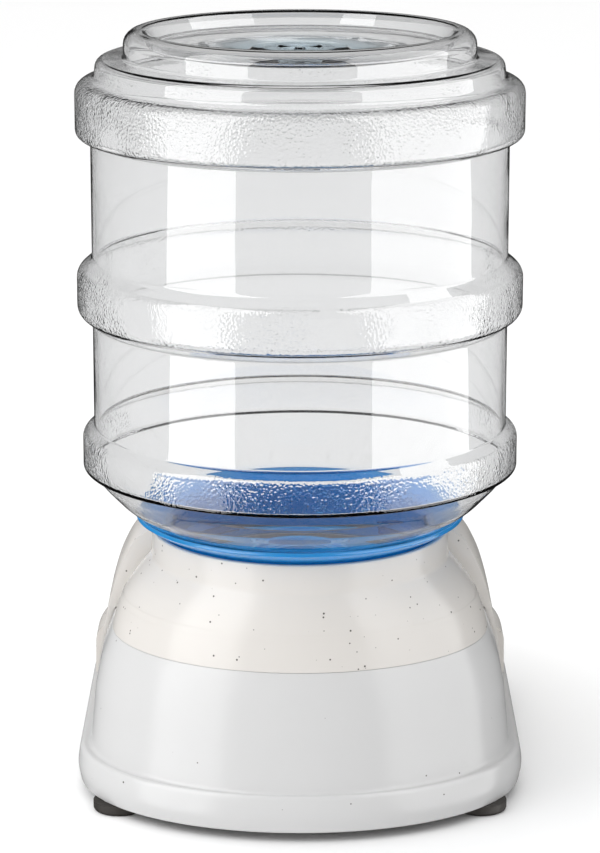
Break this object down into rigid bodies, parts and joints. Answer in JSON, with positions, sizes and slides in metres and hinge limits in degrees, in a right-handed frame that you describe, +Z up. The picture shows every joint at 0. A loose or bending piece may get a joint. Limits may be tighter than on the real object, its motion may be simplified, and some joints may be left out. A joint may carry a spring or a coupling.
{
  "type": "gravity water dispenser",
  "caption": "Gravity water dispenser: a clear ringed bottle stands upside down in a two-tone base with a drinking bowl; a spring valve in its blue cap opens when it is seated.",
  "frame": {"origin": "on the floor, at the centre of the footprint of bottle and base together", "axes": "+Z up; the drinking bowl faces +Y and the bottle stands towards -Y; symmetric about the YZ plane, so +X is the right-hand side seen from behind the bottle"},
  "size_m": [0.1818, 0.2822, 0.31],
  "materials": {
    "clear_bottle": "clear blow-moulded plastic, pebbled on the rings",
    "blue_plastic": "gloss, translucent blue",
    "cream_shell": "gloss cream with fine dark specks",
    "grey_shell": "gloss light grey with fine dark specks",
    "foot_rubber": "matt",
    "seal_rubber": "matt",
    "screw_steel": "zinc plated",
    "spring_steel": "drawn stainless wire",
    "valve_white": "natural acetal"
  },
  "bodies": {
    "base": {"lower_shell": "grey_shell", "foot_rear_left": "foot_rubber", "foot_rear_right": "foot_rubber", "foot_front_left": "foot_rubber", "foot_front_right": "foot_rubber", "foot_screws": "screw_steel", "basin_screws": "screw_steel", "basin": "cream_shell"},
    "housing": {"bottle_collar": "cream_shell", "front_hood": "cream_shell", "hood_screws": "screw_steel"},
    "bottle_body": {"bottle": "clear_bottle"},
    "cap_body": {"valve_cap": "blue_plastic", "cap_gasket": "seal_rubber", "valve_tube": "blue_plastic", "tube_o_ring": "seal_rubber", "guide_cage": "valve_white"},
    "plunger": {"valve_stem": "valve_white", "valve_disc": "seal_rubber", "stem_clip": "spring_steel", "valve_spring": "spring_steel"}
  },
  "joints": [
    {"name": "housing_lift", "type": "slide", "parent": "base", "child": "housing", "axis": [0, 0, 1], "range_m": [0, 0.09]},
    {"name": "bottle_lift", "type": "slide", "parent": "housing", "child": "bottle_body", "axis": [0, 0, 1], "range_m": [0, 0.1]},
    {"name": "cap_turn", "type": "hinge", "parent": "bottle_body", "child": "cap_body", "pos_m": [0, -0.05294, 0.09], "axis": [0, 0, 1], "range_deg": [0, 60]},
    {"name": "valve_slide", "type": "slide", "parent": "cap_body", "child": "plunger", "axis": [0, 0, -1], "range_m": [0, 0.005], "deforming": ["valve_spring"]}
  ],
  "couplings": [
    {"joint": "valve_slide", "follows": "bottle_lift", "ratio": 0.05}
  ]
}
